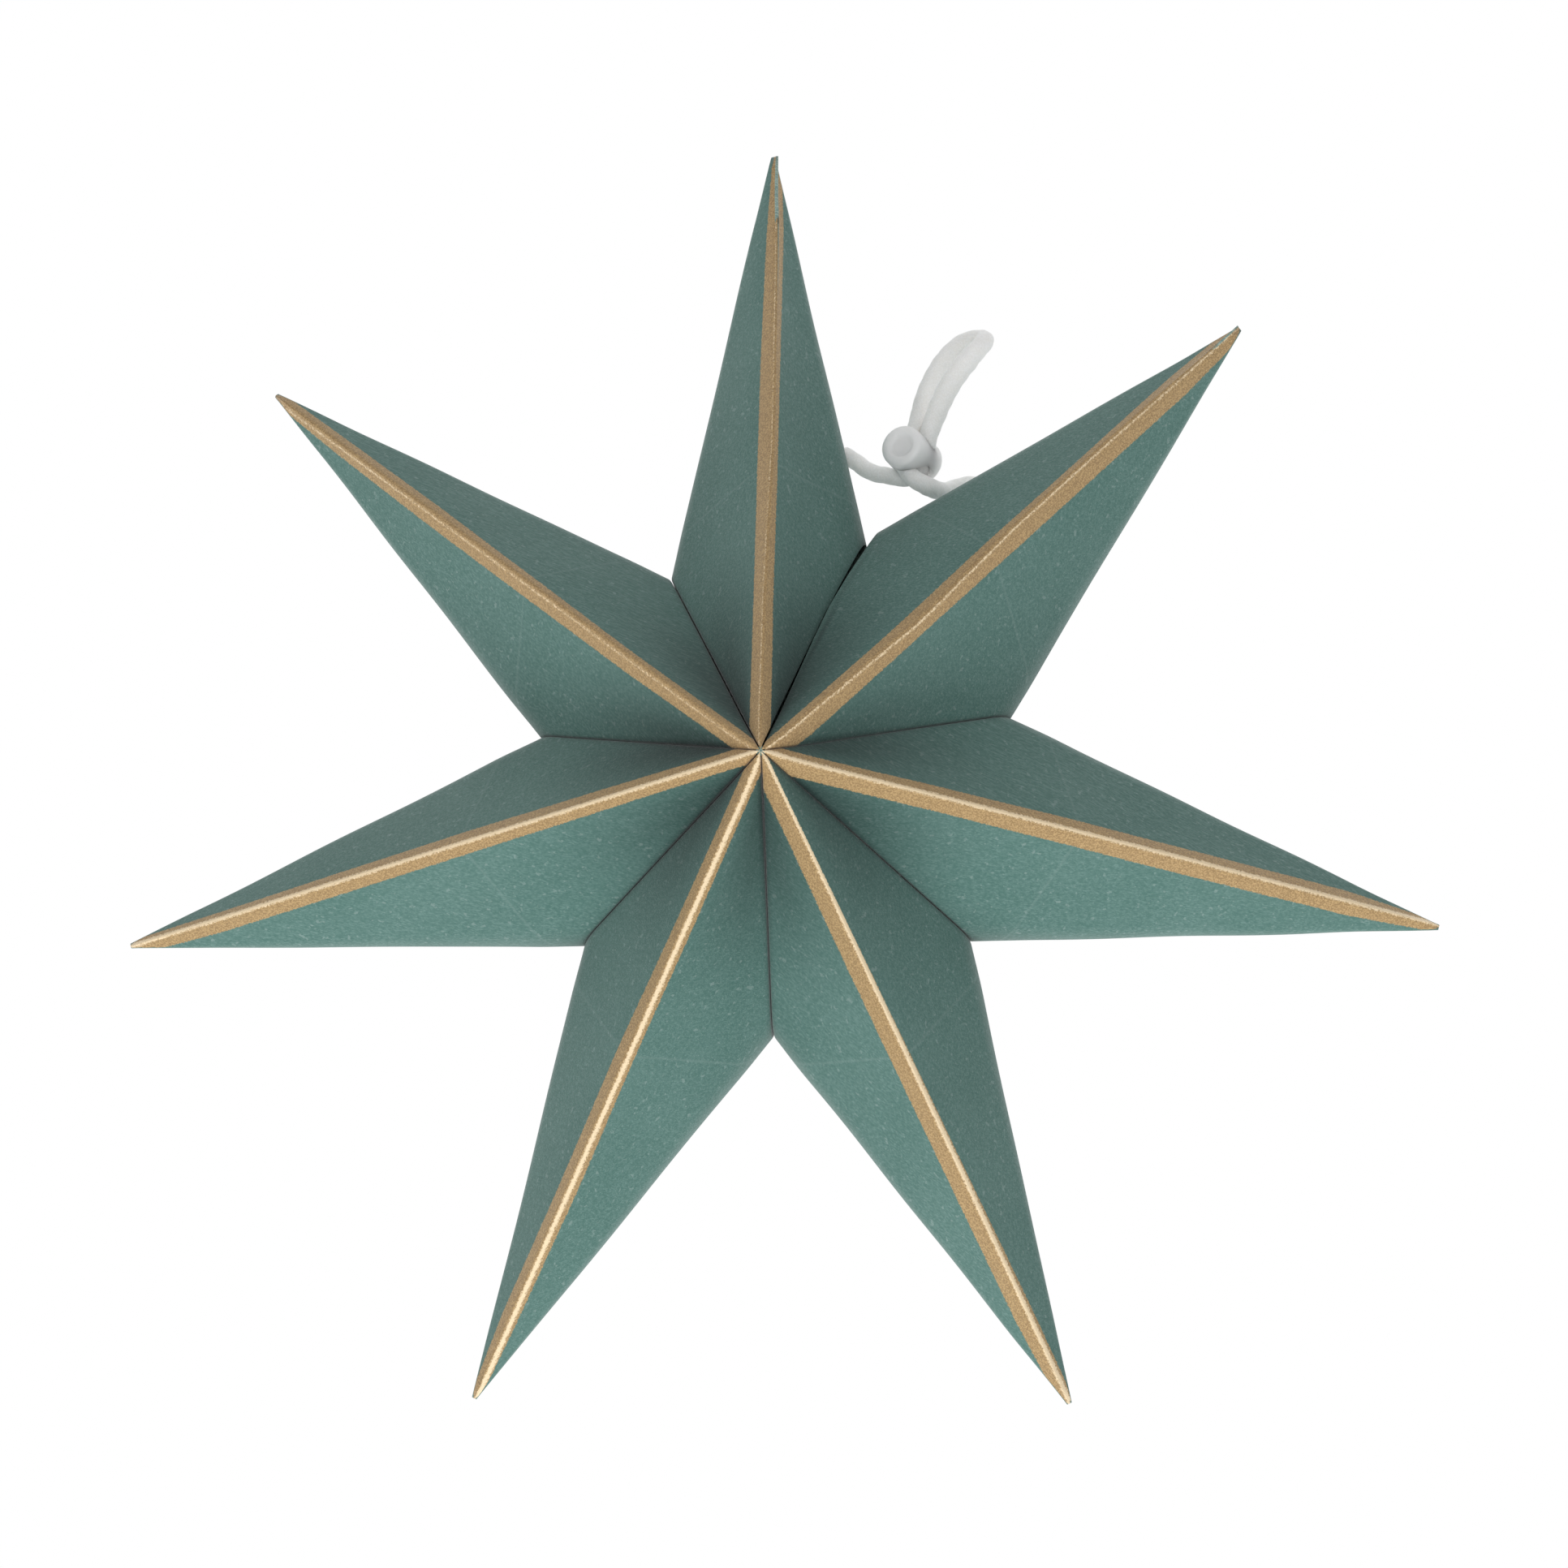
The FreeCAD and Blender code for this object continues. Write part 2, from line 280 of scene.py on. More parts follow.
@dataclass
class HalfOutline:
    """The rounded edge of one wall in its seam plane, from the front ridge to the back one.

    A straight line leaves the front ridge, a circular bend turns it round at the silhouette
    and a straight line goes on to the back ridge.
    """

    seam: Seam
    start: Array
    bend_steps: int = 12
    near: tuple[float, ...] = (0.0, 0.12, 0.25, 0.4, 0.6, 0.9, 1.4)
    near_share: tuple[float, ...] = (0.0, 0.04, 0.08, 0.13, 0.2, 0.28, 0.38)
    straight_steps: int = 6

    def __post_init__(self) -> None:
        """Works out where the outline's straight parts would meet and how it bends."""
        depth, bend = SIZES.half_depth, SIZES.wall_bend
        reach = self.seam.reach - self.start @ self.seam.along
        spare = bend - reach
        quad = 1 - (bend / depth) ** 2
        self.reach = (-spare + math.sqrt(spare**2 - quad * (spare**2 - bend**2))) / quad
        self.corner = self.start + self.seam.along * self.reach
        self.half_angle = math.atan2(depth, self.reach)
        self.straight = math.hypot(depth, self.reach) - bend / math.tan(self.half_angle)
        self.bend_centre = self.corner - self.seam.along * (bend / math.sin(self.half_angle))

    @property
    def bend_angles(self) -> Array:
        """The angles of the bend's own columns, from straight out along the seam."""
        turn = math.pi / 2 - self.half_angle
        return np.linspace(-turn, turn, self.bend_steps + 1)[1:-1]

    def spokes(self, angles: Array) -> Array:
        """Unit directions in the seam plane at angles from straight out along the seam."""
        return (np.cos(angles)[:, None] * self.seam.along
                + np.sin(angles)[:, None] * BACKWARDS)

    def columns(self, shrink: Array, tip: Array) -> tuple[Array, Array]:
        """Points of the wall at each shrink, which is 0 at the seam and 1 at the tip.

        Every row of the wall is the outline shrunk towards the tip. Columns next to a ridge
        keep a fixed distance from it, and the others share what is left of the straight part.

        Args:
            shrink: one value for each row.
            tip: where the rows shrink to.

        Returns:
            The points, rows by columns, and each one's distance from the nearer ridge.
        """
        depth = SIZES.half_depth * BACKWARDS
        left = (1 - shrink)[:, None]
        whole = self.straight * left
        near = np.minimum(np.array(self.near)[None], whole * np.array(self.near_share)[None])
        share = np.linspace(0, 1, self.straight_steps + 1)[1:][None]
        reach = np.concatenate([near, near[:, -1:] + (whole - near[:, -1:]) * share], axis=1)
        ridge = self.start + shrink[:, None] * (tip - self.start)
        slope = unit(self.seam.along * self.reach + depth)
        mirror = np.array([1.0, -1.0, 1.0])
        front = (ridge - depth * left)[:, None] + slope * reach[..., None]
        back = (ridge + depth * left)[:, None] + slope * mirror * reach[..., None]
        rim = self.bend_centre + self.spokes(self.bend_angles) * SIZES.wall_bend
        bend = rim[None] + shrink[:, None, None] * (tip - rim)[None]
        points = np.concatenate([front, bend, back[:, ::-1]], axis=1)
        middle = np.repeat(whole, self.bend_steps - 1, axis=1)
        return points, np.concatenate([reach, middle, reach[:, ::-1]], axis=1)

    def flap_directions(self) -> Array:
        """For each column, the unit direction in the seam plane that leads under the edge."""
        count = len(self.near) + self.straight_steps
        turn = math.pi / 2 - self.half_angle
        flat = np.full(count, turn)
        return -self.spokes(np.concatenate([-flat, self.bend_angles, flat]))


@dataclass(frozen=True)
class CordHole:
    """A punched hole: its middle and the way out of the paper, from the star's centre."""

    middle: Triple
    outward: Triple


BAND_SHARES = (0.08, 0.25, 0.45, 0.65, 0.85, 0.97)


@dataclass
class PaperPoint:
    """One hollow point of the star, with its printed bands and its small folding faults.

    The tables run from the star's centre to the tip, in millimetres across the point. The
    front band's has its left and right edges at each of the band's shares of the way to the
    sharp tip. The fold's has such shares too and how far the fold strays to the right there.
    The painted highlight line along the fold has its own stray and a number that is greater
    where it is fainter.
    """

    number: int
    tip_angle: float
    left: Seam
    right: Seam
    band: tuple[tuple[float, float], ...]
    fold: tuple[tuple[float, float], ...]
    # Where the painted highlight along the fold lies, and how faint it is.
    highlight_line: tuple[float, float]
    hole: CordHole | None = None
    crease_lift: float = 0.14
    crease_share: float = 0.48
    rows: int = 46
    flap_steps: tuple[float, ...] = (1.0, 0.5)
    round_steps: tuple[float, ...] = (0.0, 0.25, 0.5, 0.75, 1.0)
    seam_round: float = 0.4
    ridge_round: float = 0.5
    swell: float = 0.09
    back_stray: float = 0.4
    levels: int = 12
    valley_ring: float = 33.0
    valley_fade: float = 26.0
    seam_line: float = 0.3
    most_painted_shade: float = 1.45

    def build(self) -> Object:
        """Makes the folded sheet, gives it its thickness and cuts its cord hole.

        Returns:
            The finished paper point.
        """
        points, from_ridge, shrink = self.surface()
        points = self.crumple(points, from_ridge, shrink)
        rows, columns = points.shape[:2]
        cap = points[-1].mean(axis=0, keepdims=True)
        places = np.concatenate([points.reshape(-1, 3), cap])
        faces = grid_faces(rows, columns, True)
        fan = fan_faces(np.arange((rows - 1) * columns, rows * columns), rows * columns)
        piece = make_mesh(f"star_point_{self.number}", to_place(places), faces + fan)
        share = self.thickness_share(from_ridge, shrink)
        set_values(piece.data, "share", np.append(share.ravel(), share[-1].min()))
        clean_mesh(piece.data, 2e-6)
        face_away(piece.data, to_place(self.tip * 0.4))
        self.thicken(piece)
        if self.hole is not None:
            middle, outward = np.array(self.hole.middle), np.array(self.hole.outward)
            radius = SIZES.hole_width / 2
            cut_with(piece, make_rod("punch", middle - outward * 3, outward * 6, radius))
        self.mark(piece)
        return piece

    @property
    def ray(self) -> Array:
        """The direction from the star's centre to the tip."""
        return heading(self.tip_angle)

    @property
    def right_hand(self) -> Array:
        """The direction across the point, to the right of its ray."""
        return heading(self.tip_angle + 90)

    @property
    def tip(self) -> Array:
        """Where the tip would be if it were sharp."""
        return self.ray * SIZES.sharp_reach

    @property
    def start(self) -> Array:
        """Where the edge planes of the two walls cross, near the star's centre."""
        inward = [heading(seam.angle + seam.turn * 90)[[0, 2]] for seam in self.seams]
        spot = np.linalg.solve(np.array(inward), np.full(2, SIZES.glue_film / 2))
        return np.array([spot[0], 0.0, spot[1]])

    @property
    def seams(self) -> tuple[Seam, Seam]:
        """The left and the right seam."""
        return self.left, self.right

    def surface(self) -> tuple[Array, Array, Array]:
        """The sheet as a grid: rows from the flaps' edges to the tip, columns all round.

        A wall's rows are its rounded outline shrunk towards the tip. Before them, the rows
        of a glued side lead out of its flap, which lies in the seam plane, through a curve
        with the outline's edge as its control point.

        Returns:
            The points, their distances from the nearer ridge, and their shrinks.
        """
        first = self.seam_round / SIZES.tip_reach
        last = (SIZES.tip_reach - self.start @ self.ray) / SIZES.sharp_reach
        steps = np.linspace(0, 1, self.rows)[1:] ** 1.12
        shrink = np.concatenate([[0.0, first], first + (last - first) * steps])
        halves, reaches = [], []
        for seam in self.seams:
            outline = HalfOutline(seam, self.start)
            wall, reach = outline.columns(shrink, self.tip)
            wall = wall + self.swayed(seam, wall[0], shrink)
            inwards = outline.flap_directions()
            limit = np.minimum(SIZES.glue_flap, 0.8 * reach[0])[:, None]
            steps = np.array(self.flap_steps)[:, None, None]
            curve = np.array(self.round_steps)[:, None, None]
            if seam.glued:
                root = wall[0] + inwards * np.minimum(limit, self.seam_round)
                flap = wall[0] + inwards * limit * steps
            else:
                root = wall[0]
                flap = np.repeat(wall[:1], len(self.flap_steps), axis=0)
            bend = (1 - curve) ** 2 * root + 2 * curve * (1 - curve) * wall[0]
            bend = bend + curve**2 * wall[1]
            halves.append(np.concatenate([flap, bend, wall[2:]]))
            before = len(self.flap_steps) + len(self.round_steps) - 1
            reaches.append(np.concatenate([np.repeat(reach[:1], before, axis=0), reach[1:]]))
        ring = np.concatenate([halves[0], halves[1][:, -2:0:-1]], axis=1)
        distance = np.concatenate([reaches[0], reaches[1][:, -2:0:-1]], axis=1)
        shrinks = np.concatenate([np.zeros(before), shrink[1:]])
        scale = SIZES.tip_blunt / (SIZES.sharp_reach - ring[-1] @ self.ray)
        ring[-1] = self.tip + (ring[-1] - self.tip) * scale[:, None]
        return ring, distance, np.repeat(shrinks[:, None], ring.shape[1], axis=1)

    def swayed(self, seam: Seam, edge: Array, shrink: Array) -> Array:
        """How far the loose walls at the closure lean to the left of their seam plane.

        The lean grows along the seam from the star's centre, falls to nothing before the
        bend, is there only on the front, and fades towards the tip.

        Args:
            seam: the wall's seam.
            edge: the points of the wall's edge.
            shrink: the shrink of each row.

        Returns:
            The moves of all rows and columns.
        """
        reach = edge @ seam.along
        lean = seam.sway * reach * held((31 - reach) / 12) * (edge[:, 1] < 0)
        lean = lean[None] * (1 - shrink[:, None]) ** 2
        return lean[..., None] * heading(seam.angle - 90)

    def share_ahead(self, points: Array) -> Array:
        """How far along the ray each point lies, as a share of the way to the sharp tip."""
        return points @ self.ray / SIZES.sharp_reach

    def fold_stray(self, points: Array) -> Array:
        """How far the fold strays to the right beside each point."""
        ahead = self.share_ahead(points)
        share, strays = np.array(self.fold).T
        return np.interp(ahead, share, strays) * held(ahead * 20)

    def wall_place(self, points: Array) -> tuple[Array, Array, Array]:
        """Places in the flat of the front wall, with the back half folded onto the front.

        The first number runs along the ridge from the star's centre and the second runs
        square to it, in the wall that a point belongs to.

        Returns:
            The two numbers for each point, and those of its valley corner.
        """
        side = points @ self.right_hand > 0
        folded = points * (1 - BACKWARDS) - np.abs(points) * BACKWARDS
        apex = self.start - SIZES.half_depth * BACKWARDS
        along = unit(self.tip - apex)
        run = (folded - apex) @ along
        across, valley = [], []
        for seam in self.seams:
            corner = HalfOutline(seam, self.start).corner - apex
            square = unit(corner - corner @ along * along)
            across.append((folded - apex) @ square)
            valley.append([corner @ along, corner @ square])
        return run, np.where(side, across[1], across[0]), np.array(valley)[side.astype(int)]

    def crease_distance(self, points: Array) -> Array:
        """How far each point is from the faint crease that runs from the valley to the ridge.

        The crease is a straight line in the flat wall. The distance is negative on the side
        of the star's centre.
        """
        run, across, valley = self.wall_place(points)
        length = np.linalg.norm(self.tip) * self.crease_share
        line = valley - np.array([length, 0.0])
        size = np.linalg.norm(line, axis=-1)
        return ((run - length) * line[..., 1] - across * line[..., 0]) / size

    def painted_valley_shade(self, points: Array) -> Array:
        """How much painted shade each point gets in the valleys round the star's centre.

        It rises smoothly from nothing, at the ring where the valleys open, to the middle of the
        star, is less on the ridges and is scaled wall by wall. A narrow dark line along each
        seam adds up to a half.
        """
        run, across, _ = self.wall_place(points)
        near = held((self.valley_ring - np.hypot(run, across)) / self.valley_fade)
        low = held(across / (0.35 * np.hypot(run, across) + 0.5))
        apart = [np.abs((points - seam.foot) @ heading(seam.angle + 90)) for seam in self.seams]
        line = held(1 - np.minimum(*apart) / self.seam_line)
        side = (points @ self.right_hand > 0).astype(int)
        painted_shade_scale = np.array([seam.painted_shade_scale for seam in self.seams])[side]
        depth = near**2 * (3 - 2 * near) * (0.35 + 0.65 * low) * painted_shade_scale
        return np.minimum(depth + line * 0.5, self.most_painted_shade)

    def highlight_distance(self, points: Array) -> Array:
        """How far each point lies to the side of the painted highlight line along the fold.

        The fainter the highlight, the further above nothing its distances start.
        """
        shift, highlight_faintness = self.highlight_line
        stray = self.fold_stray(points)
        stray = np.where(points[:, 1] < 0, stray + shift, stray * self.back_stray)
        return np.abs(points @ self.right_hand - stray) + highlight_faintness

    def band_depth(self, points: Array) -> Array:
        """How far inside the printed gold band each point is, negative outside it.

        The band's edges are drawn through the table, and the back's band mirrors the front's.
        """
        left, right = np.array(self.band).T
        ahead, aside = self.share_ahead(points), points @ self.right_hand
        aside = np.where(points[:, 1] < 0, aside, -aside)
        low = np.interp(ahead, BAND_SHARES, left)
        high = np.interp(ahead, BAND_SHARES, right)
        depth = np.minimum(aside - low, high - aside)
        return np.where(np.abs(points[:, 1]) < 0.25, -0.05, depth)

    def thickness_share(self, from_ridge: Array, shrink: Array) -> Array:
        """Which share of the paper's thickness goes inwards, less at the ridges and the tip."""
        near_tip = np.clip((1 - shrink) * SIZES.sharp_reach / 6, 0.12, 1)
        return np.minimum(near_tip, held(0.25 + from_ridge / 0.5))

    def crumple(self, points: Array, from_ridge: Array,
                shrink: Array) -> Array:
        """Rounds the ridges and adds the folding faults of real paper.

        The ridge becomes a hyperbola in depth. It strays sideways by the fold table, which
        fades over the wall. The wall rises a little towards its crease, and low waves swell
        it. All but the rounding and the straying vanish at seams and ridges.

        Returns:
            The moved points.
        """
        outwards = np.where(points[..., 1] < 0, -1.0, 1.0)
        radius = self.ridge_round * np.clip((1 - shrink) * 9, 0.1, 1)
        sunk = 0.62 * (np.hypot(from_ridge, radius) - from_ridge)
        width = 30 * (1 - shrink) + 0.5
        stray = self.fold_stray(points) * np.where(outwards < 0, 1.0, self.back_stray)
        stray = stray * held(1 - from_ridge / width) ** 2
        moved = points + stray[..., None] * self.right_hand
        moved[..., 1] -= outwards * sunk
        crease = self.crease_distance(points.reshape(-1, 3)).reshape(shrink.shape)
        window = held(shrink * 9) * held(from_ridge / 6)
        window = window * held((1 - shrink) * 5)
        phase = self.number * 1.7
        waves = np.sin(points[..., 0] / 4.1 + phase) * np.sin(points[..., 2] / 5.3 - phase)
        waves = waves + 0.6 * np.sin(points[..., 1] / 3.3 + points[..., 0] / 2.9 + 2 * phase)
        rise = self.crease_lift * np.exp(-np.abs(crease) / 7) + self.swell * waves
        side = np.where(points @ self.right_hand > 0, 1.0, -1.0)
        outward = 0.6 * side[..., None] * self.right_hand
        outward = outward + 0.75 * outwards[..., None] * BACKWARDS
        return moved + outward * (rise * window)[..., None]

    def thicken(self, piece: Object) -> None:
        """Gives the sheet its thickness on the inside, in even levels of its share."""
        share = np.zeros(len(piece.data.vertices), np.float32)
        piece.data.attributes["share"].data.foreach_get("value", share)
        levels = np.clip(np.round(share * self.levels), 1, self.levels).astype(int)
        group = piece.vertex_groups.new(name="thickness")
        for level in range(1, self.levels + 1):
            among = np.flatnonzero(levels == level).tolist()
            group.add(among, level / self.levels, "REPLACE")
        solid = piece.modifiers.new("paper", "SOLIDIFY")
        solid.thickness = SIZES.paper_thick * MM
        solid.offset = -1
        solid.vertex_group = group.name
        solid.material_offset = 1
        solid.material_offset_rim = 1
        piece.data.materials.append(bpy.data.materials.new("face"))
        piece.data.materials.append(bpy.data.materials.new("core"))
        apply_modifiers(piece)
        piece.vertex_groups.clear()

    def mark(self, piece: Object) -> None:
        """Stores what the paper's material reads at each vertex."""
        places = read_places(piece.data) / MM + np.array([0.0, 0.0, SIZES.hang_drop])
        for name, measure in (("band", self.band_depth), ("crease", self.crease_distance),
                              ("valley", self.painted_valley_shade), ("fold", self.highlight_distance)):
            set_values(piece.data, name, measure(places))

    def dress(self, piece: Object, face: Material,
              core: Material) -> None:
        piece.data.materials[0] = face
        piece.data.materials[1] = core
        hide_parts(f"point_{self.number}")
        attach(piece, "root")


@dataclass
class HangingLoop:
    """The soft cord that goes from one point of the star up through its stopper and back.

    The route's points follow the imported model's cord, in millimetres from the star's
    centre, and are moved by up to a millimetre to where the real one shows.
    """

    route: tuple[Triple, ...]
    width: float = 2.0
    length: float = 64.0
    strands: int = 3
    lay_length: float = 5.2
    groove: float = 0.05
    fullness: tuple[tuple[float, float], ...] = (
        (0.0, 1.0), (0.2, 0.98), (0.27, 1.22), (0.38, 1.29), (0.44, 1.06), (0.48, 1.02),
        (0.56, 1.06), (0.7, 0.99), (0.79, 1.0), (0.84, 1.12), (0.9, 1.05), (1.0, 1.0))
    touch_reach: float = 0.45
    step: float = 0.16
    sides: int = 48

    def spline_points(self) -> Array:
        """Points along the route's own smooth spline, evenly spaced by length.

        Returns:
            The points in metres.
        """
        curve = bpy.data.curves.new("cord_route", "CURVE")
        curve.dimensions = "3D"
        spline = curve.splines.new("NURBS")
        spline.points.add(len(self.route) - 1)
        places = np.ones((len(self.route), 4))
        places[:, :3] = to_place(np.array(self.route))
        spline.points.foreach_set("co", places.ravel())
        spline.order_u = 3
        spline.use_endpoint_u = True
        spline.resolution_u = 24
        carrier = add_object("cord_route", curve)
        line = final_mesh(carrier)
        points = read_places(line)
        bpy.data.objects.remove(carrier)
        bpy.data.meshes.remove(line)
        run = np.concatenate([[0], np.cumsum(np.linalg.norm(np.diff(points, axis=0), axis=1))])
        even = np.linspace(0, run[-1], int(run[-1] / MM / self.step))
        return np.stack([np.interp(even, run, points[:, axis]) for axis in range(3)], axis=1)

    def build(self) -> tuple[Object, Array]:
        """Makes the cord as strands laid round each other.

        The cross-section is a circle that dips a little between the strands, and it turns by
        one full turn over each lay length while it is carried along the route. The cord is
        fuller where it is slack, by the table of shares of its length.

        Returns:
            The cord and the points that it follows.
        """
        points = self.spline_points()
        along = unit(np.gradient(points, axis=0))
        aside = [unit(np.cross(along[0], np.array([0.2, 0.9, 0.3])))]
        for direction in along[1:]:
            aside.append(unit(aside[-1] - direction * (aside[-1] @ direction)))
        aside = np.array(aside)
        across = np.cross(along, aside)
        run = np.linspace(0, 1, len(points))
        length = np.linalg.norm(np.diff(points, axis=0), axis=1).sum() / MM
        angle = np.linspace(0, 2 * math.pi, self.sides, endpoint=False)
        lay = run[:, None] * length / self.lay_length * 2 * math.pi
        phase = np.mod((angle[None] - lay) * self.strands, 2 * math.pi) - math.pi
        lobe = phase / self.strands
        profile = 1 - self.groove * (1 - np.cos(lobe) ** 2) * 1.3
        ends = held(np.minimum(run, 1 - run) * length / 0.4)
        share, full = np.array(self.fullness).T
        radius = self.width / 2 * MM * profile * np.interp(run, share, full)[:, None]
        radius = radius * np.sqrt(1 - (1 - ends[:, None]) ** 2 * 0.5)
        ring = aside[:, None] * (np.cos(angle)[None] * radius)[..., None]
        ring = ring + across[:, None] * (np.sin(angle)[None] * radius)[..., None]
        places = (points[:, None] + ring).reshape(-1, 3)
        centre = len(places)
        faces = grid_faces(len(points), self.sides, True)
        faces += fan_faces(np.arange(self.sides)[::-1], centre)
        faces += fan_faces(np.arange(centre - self.sides, centre), centre + 1)
        places = np.concatenate([places, points[:1], points[-1:]])
        piece = make_mesh("hanging_cord", places, faces)
        groove = np.abs(lobe).ravel() * self.strands / math.pi
        set_values(piece.data, "groove", np.append(groove, [0, 0]))
        set_values(piece.data, "touch", self.touch(points, places, run * length))
        clean_mesh(piece.data, 1e-8)
        return piece, points

    def touch(self, points: Array, places: Array, run: Array) -> Array:
        """How nearly each place touches another length of the cord, from 0 to 1; the cord's
        material paints shadow where it is high.

        Args:
            points: the cord's middle line, in metres.
            places: its surface, ring by ring, and then its two ends' middles.
            run: how far along the cord each ring lies, in millimetres.
        """
        own = np.append(np.repeat(run, self.sides), [run[0], run[-1]])
        other = np.full(len(places), 1e3)
        for spot, reach in zip(points[::2] / MM, run[::2]):
            gap = np.linalg.norm(places / MM - spot, axis=1)
            apart = np.abs(own - reach) > self.lay_length
            other = np.where(apart, np.minimum(other, gap), other)
        return held(1 - (other - self.width / 2) / self.touch_reach)

    def dress(self, piece: Object, points: Array,
              finish: Material) -> None:
        piece.data.materials.append(finish)
        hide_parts("cord")
        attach(piece, "root")


@dataclass
class Stopper:
    """The frosted cylinder that slides on the cord, with a shallow dish in its front."""

    middle: Triple = (-1.53, 0.0, 42.45)
    axis: Triple = (-0.385, -0.922, -0.03)
    bore_middle: Triple = (-1.255, 0.0, 42.641)
    bore_along: Triple = (-0.175, 0.044, 0.984)
    front: float = 3.5
    back: float = 2.6
    front_width: float = 5.0
    back_width: float = 5.4
    edge: float = 0.35
    slope_deep: float = 0.5
    bore_width: float = 4.12
    dish_width: float = 3.1
    dish_floor: float = 2.2
    dish_deep: float = 0.5
    crest: float = 0.12
    rounding: float = 0.12
    sides: int = 96

    def profile(self) -> Array:
        """The half outline from the dish's middle over the rim to the back's middle.

        Half a cosine wave falls into the dish, a quarter ellipse rounds the front outside
        its crest, and a quarter circle rounds the back's rim.

        Returns:
            Rows of distance along the axis and radius, in millimetres.
        """
        turn = np.linspace(0, math.pi / 2, 7)
        front, back = self.front_width / 2, self.back_width / 2
        floor = np.linspace(0, self.dish_floor / 2, 5)
        floor = np.stack([np.full(5, self.front - self.dish_deep), floor], axis=1)
        slope = np.linspace(0, 1, 5)[1:]
        rise = 0.5 - 0.5 * np.cos(slope * math.pi)
        wall = np.stack([self.front - self.dish_deep * (1 - rise),
                         (self.dish_floor + (self.dish_width - self.dish_floor) * slope) / 2], 1)
        crest = self.dish_width / 2 + self.crest
        rim = np.stack([self.front - self.slope_deep * (1 - np.cos(turn)),
                        crest + (front - crest) * np.sin(turn)], axis=1)
        end = np.stack([-self.back + self.edge * (1 - np.sin(turn)),
                        back - self.edge * (1 - np.cos(turn))], axis=1)
        close = np.array([[-self.back, back * 0.6], [-self.back, back * 0.3], [-self.back, 0]])
        return np.concatenate([floor, wall, rim, end, close])

    def build(self) -> Object:
        """Turns the profile round the axis and bores the hole for the cord across it."""
        axis, middle = unit(np.array(self.axis)), np.array(self.middle)
        bore = unit(np.array(self.bore_along))
        aside = unit(np.cross(axis, bore))
        other = np.cross(aside, axis)
        reach, radius = self.profile().T
        ring = circle(aside, other, self.sides)
        points = middle + reach[:, None, None] * axis + radius[:, None, None] * ring
        piece = make_mesh("sliding_stopper", to_place(points.reshape(-1, 3)),
                          grid_faces(len(reach), self.sides, True))
        clean_mesh(piece.data, 2e-6)
        entry = np.array(self.bore_middle) - bore * 4
        cut_with(piece, make_rod("bore", entry, bore * 8, self.bore_width / 2))
        rounding = piece.modifiers.new("rounding", "BEVEL")
        rounding.width = self.rounding * MM
        rounding.segments = 3
        rounding.limit_method = "ANGLE"
        rounding.angle_limit = math.radians(50)
        apply_modifiers(piece)
        return piece

    def dress(self, piece: Object, finish: Material) -> None:
        piece.data.materials.clear()
        piece.data.materials.append(finish)
        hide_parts("cord_stopper")
        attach(piece, "root")


class Nodes:
    """A node tree, with short ways to add nodes to it."""

    def __init__(self, tree: NodeTree, place: NodeSocket) -> None:
        """Keeps the tree and the socket that gives the place on the object."""
        self.tree = tree
        self.place = place

    def put(self, socket: NodeSocket, value: Value | tuple) -> None:
        """Links a socket to another one, or sets it to a plain value."""
        if isinstance(value, NodeSocket):
            self.tree.links.new(value, socket)
        else:
            socket.default_value = value

    def fill(self, node: Node, **values: Value | tuple) -> Node:
        """Sets a node's inputs, named with underscores for spaces, and returns the node."""
        for name, value in values.items():
            self.put(node.inputs[name.replace("_", " ")], value)
        return node

    def add(self, kind: str, **values: Value | tuple) -> Node:
        """Adds a node and sets its inputs."""
        return self.fill(self.tree.nodes.new(kind), **values)

    def math(self, operation: str, first: Value, second: Value = 0.0) -> NodeSocket:
        """Combines two numbers."""
        node = self.add("ShaderNodeMath")
        node.operation = operation
        self.put(node.inputs[0], first)
        self.put(node.inputs[1], second)
        return node.outputs[0]

    def times(self, first: Value, second: Value) -> NodeSocket:
        """The product of two numbers."""
        return self.math("MULTIPLY", first, second)

    def plus(self, first: Value, second: Value) -> NodeSocket:
        """The sum of two numbers."""
        return self.math("ADD", first, second)

    def span(self, value: Value, low: float, high: float, start: float = 0.0,
             end: float = 1.0) -> NodeSocket:
        """Maps a number smoothly from one range to another, held at the ends."""
        node = self.add("ShaderNodeMapRange", Value=value, From_Min=low, From_Max=high,
                        To_Min=start, To_Max=end)
        node.interpolation_type = "SMOOTHSTEP"
        return node.outputs["Result"]

    def noise(self, scale: float, detail: float = 2.0, rough: float = 0.5,
              vector: NodeSocket | None = None) -> NodeSocket:
        """Soft noise with so many features to the metre."""
        return self.add("ShaderNodeTexNoise", Scale=scale, Detail=detail, Roughness=rough,
                        Vector=vector or self.place).outputs["Fac"]

    def mix(self, factor: Value, first: Value | tuple,
            second: Value | tuple) -> NodeSocket:
        """A colour between two others."""
        node = self.add("ShaderNodeMix")
        node.data_type = "RGBA"
        self.put(node.inputs["Factor"], factor)
        for name, value in (("A", first), ("B", second)):
            socket = next(s for s in node.inputs if s.name == name and s.type == "RGBA")
            self.put(socket, value if isinstance(value, NodeSocket) else (*value, 1))
        return next(s for s in node.outputs if s.type == "RGBA")


